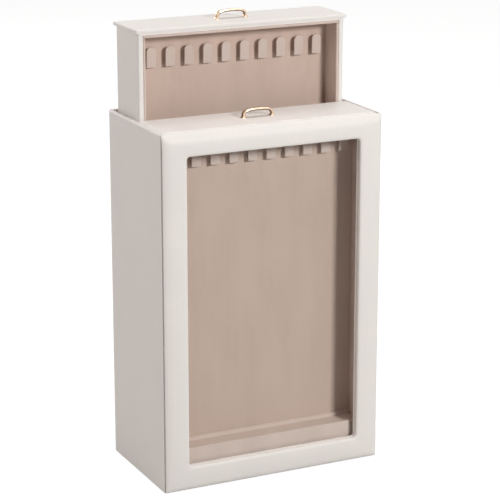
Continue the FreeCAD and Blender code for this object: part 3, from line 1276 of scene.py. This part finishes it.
def sky():
    """An even sky that lights the box softly and shows white to the camera and in gloss."""
    world = bpy.data.worlds.new("soft_sky")
    bpy.context.scene.world = world
    world.use_nodes = True
    tree = world.node_tree
    tree.nodes.clear()
    light, white = (
        add(tree, "ShaderNodeBackground", None, {"Color": tint, "Strength": strength})
        for tint, strength in (((1.0, 0.95, 0.92, 1), 0.09), ((1, 1, 1, 1), 1.0))
    )
    finish_with_two(tree, seen_directly(tree), light, white, "ShaderNodeOutputWorld")


def soft_lamp(name, place, aim, width, height, power, tint):
    """A large soft lamp at place that faces aim."""
    only(None)
    finished(bpy.ops.object.light_add(type="AREA", location=place), "adding " + name)
    lamp = named(bpy.context.object, name)
    lamp.data.shape = "RECTANGLE"
    lamp.data.size = width
    lamp.data.size_y = height
    lamp.data.energy = power
    lamp.data.color = tint
    lamp.rotation_euler = (Vector(aim) - Vector(place)).to_track_quat("-Z", "Y").to_euler()


class NECKLACE_BOX_OT_stage(bpy.types.Operator):
    """Sets up the pale floor, the soft light and the camera"""

    bl_idname = "necklace_box.stage"
    bl_label = "Stage"

    def execute(self, context):
        context.scene.view_settings.view_transform = "Standard"
        stage_floor()
        sky()
        middle = (0, 0, 0.2)
        soft_lamp("overhead_lamp", (0.55, 0.12, 2.6), middle, 2.2, 2.2, 33.0, (1.0, 0.985, 0.975))
        soft_lamp("key_lamp", (0.6, -2.13, 1.13), middle, 0.42, 0.42, 35.1, (1.0, 0.995, 0.985))
        soft_lamp("side_lamp", (-2.05, 0.15, 1.1), middle, 1.0, 1.0, 14.9, (1.0, 0.95, 0.92))
        soft_lamp("back_lamp", (-0.6, 2.2, 0.8), middle, 0.9, 0.9, 12.0, (1.0, 0.98, 0.96))
        finished(
            bpy.ops.object.camera_add(
                location=(-0.75266, -1.56491, 0.68984),
                rotation=(math.radians(90 - 15.87), 0, -math.radians(25.82)),
            ),
            "adding the camera",
        )
        camera = named(context.object, "camera")
        camera.data.lens = 144.0
        camera.data.sensor_width = 36
        camera.data.clip_start = 0.05
        context.scene.camera = camera
        return {"FINISHED"}


class NECKLACE_BOX_PT_panel(bpy.types.Panel):
    """Lists the sizes, the finishes and the steps that build the box"""

    bl_label = "Necklace box"
    bl_idname = "NECKLACE_BOX_PT_panel"
    bl_space_type = "VIEW_3D"
    bl_region_type = "UI"
    bl_category = "Necklace box"

    def draw(self, context):
        layout = self.layout
        for group in (context.scene.necklace_box_sizes, context.scene.necklace_box_finishes):
            column = layout.column()
            for name in group.__annotations__:
                column.prop(group, name)
        for operator in STEPS:
            layout.operator(operator.bl_idname)


STEPS = (
    NECKLACE_BOX_OT_front_frame,
    NECKLACE_BOX_OT_side_panels,
    NECKLACE_BOX_OT_back_panel,
    NECKLACE_BOX_OT_window_pane,
    NECKLACE_BOX_OT_base,
    NECKLACE_BOX_OT_wells,
    NECKLACE_BOX_OT_drawer_boards,
    NECKLACE_BOX_OT_drawer_linings,
    NECKLACE_BOX_OT_trays,
    NECKLACE_BOX_OT_hooks,
    NECKLACE_BOX_OT_handles,
    NECKLACE_BOX_OT_stage,
)
CLASSES = (NecklaceBoxSizes, NecklaceBoxFinishes, *STEPS, NECKLACE_BOX_PT_panel)


def register():
    for kind in CLASSES:
        bpy.utils.register_class(kind)
    bpy.types.Scene.necklace_box_sizes = bpy.props.PointerProperty(type=NecklaceBoxSizes)
    bpy.types.Scene.necklace_box_finishes = bpy.props.PointerProperty(type=NecklaceBoxFinishes)


def unregister():
    del bpy.types.Scene.necklace_box_finishes
    del bpy.types.Scene.necklace_box_sizes
    for kind in reversed(CLASSES):
        bpy.utils.unregister_class(kind)


def main():
    register()
    for operator in STEPS:
        call = getattr(bpy.ops.necklace_box, operator.bl_idname.split(".")[1])
        finished(call(), operator.bl_label)


if __name__ == "__main__":
    main()
